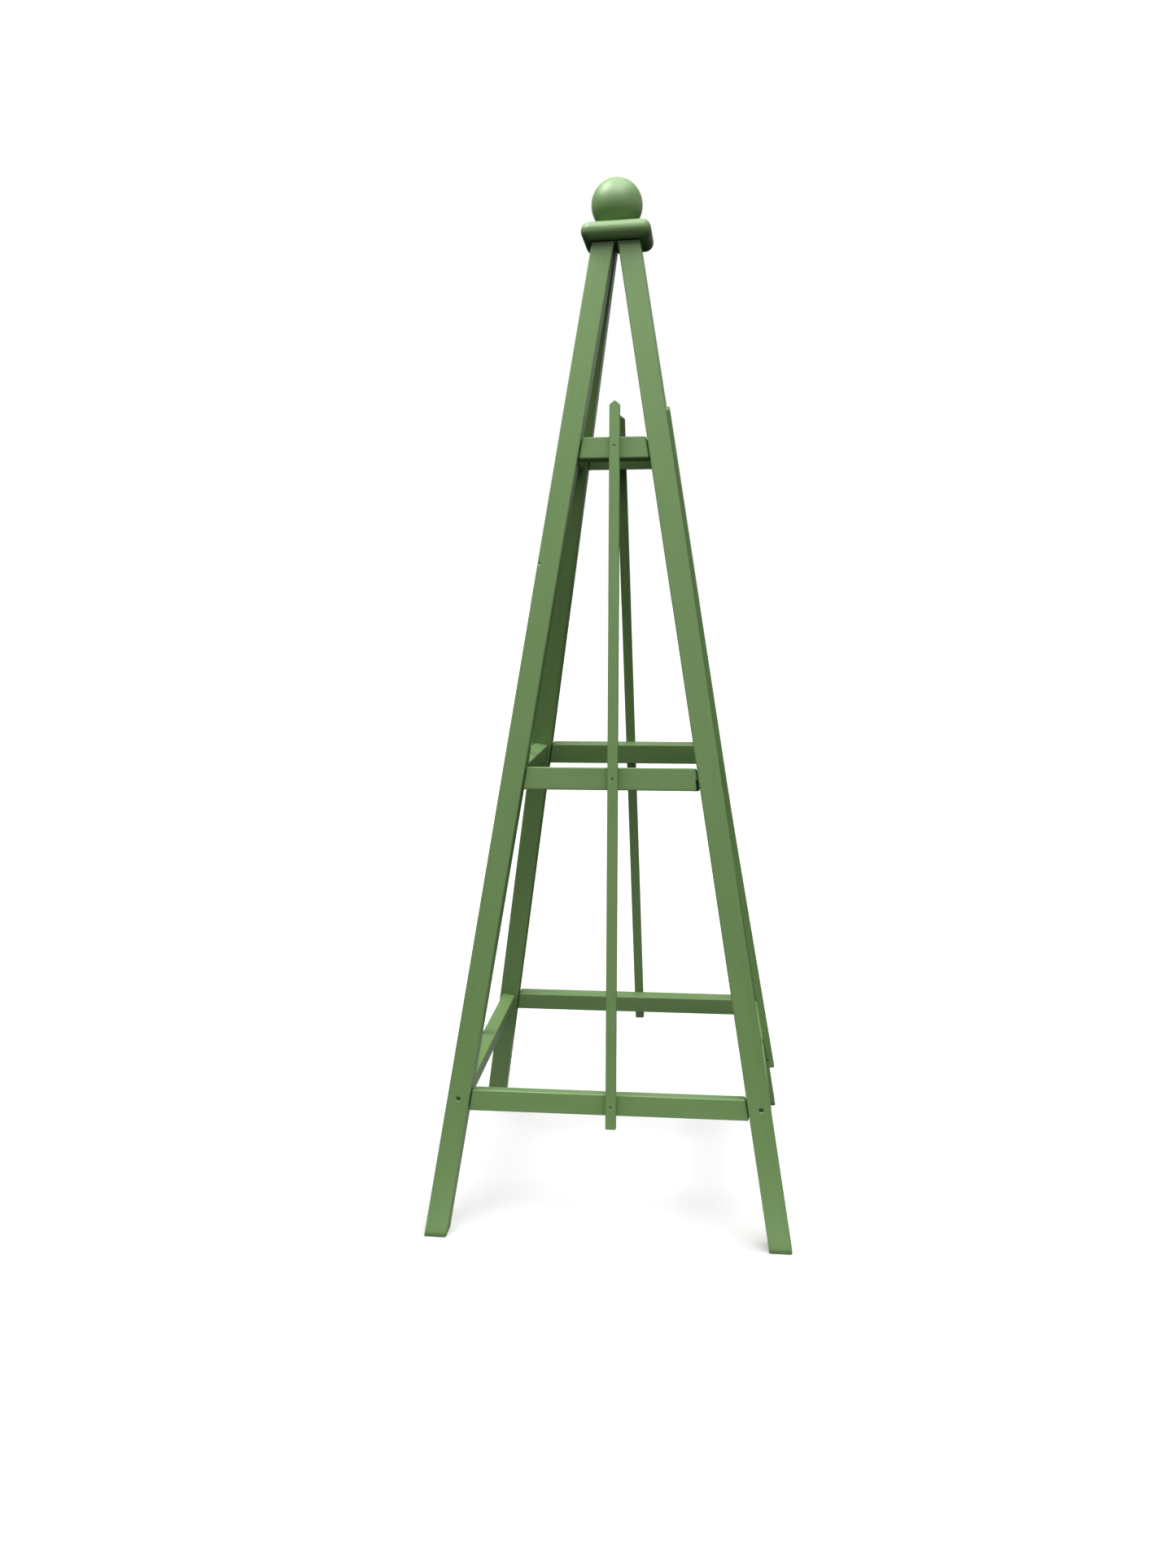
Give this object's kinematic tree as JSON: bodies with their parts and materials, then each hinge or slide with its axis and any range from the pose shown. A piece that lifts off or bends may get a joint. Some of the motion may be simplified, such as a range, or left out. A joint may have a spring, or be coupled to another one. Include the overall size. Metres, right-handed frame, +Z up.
{
  "type": "garden obelisk",
  "caption": "Painted timber garden obelisk: leaning square legs, tiers of rails between them, a pointed lath up each side, and a bullnosed cap plate with a ball finial.",
  "frame": {"origin": "on the ground, under the centre of the four feet", "axes": "+Z up, +X to the right and +Y to the back as seen from the front"},
  "size_m": [0.4896, 0.4896, 1.3992],
  "materials": {
    "painted_timber": "softwood with sage green satin exterior paint",
    "dowel_beech": "bare beech",
    "zinc_plated_steel": "zinc plated"
  },
  "bodies": {
    "root": {"leg_front_left": "painted_timber", "leg_front_right": "painted_timber", "leg_back_right": "painted_timber", "leg_back_left": "painted_timber", "rail_front_bottom": "painted_timber", "rail_right_bottom": "painted_timber", "rail_back_bottom": "painted_timber", "rail_left_bottom": "painted_timber", "rail_front_middle": "painted_timber", "rail_right_middle": "painted_timber", "rail_back_middle": "painted_timber", "rail_left_middle": "painted_timber", "rail_front_top": "painted_timber", "rail_right_top": "painted_timber", "rail_back_top": "painted_timber", "rail_left_top": "painted_timber", "lath_front": "painted_timber", "lath_right": "painted_timber", "lath_back": "painted_timber", "lath_left": "painted_timber", "cap_plate": "painted_timber", "ball_finial": "painted_timber", "dowels_middle_rails": "dowel_beech", "dowels_top_rails": "dowel_beech", "screws_bottom_rails": "zinc_plated_steel", "screws_cap_plate": "zinc_plated_steel", "stud_ball_finial": "zinc_plated_steel", "nails_laths_bottom": "zinc_plated_steel", "nails_laths_middle": "zinc_plated_steel", "nails_laths_top": "zinc_plated_steel"}
  },
  "joints": []
}
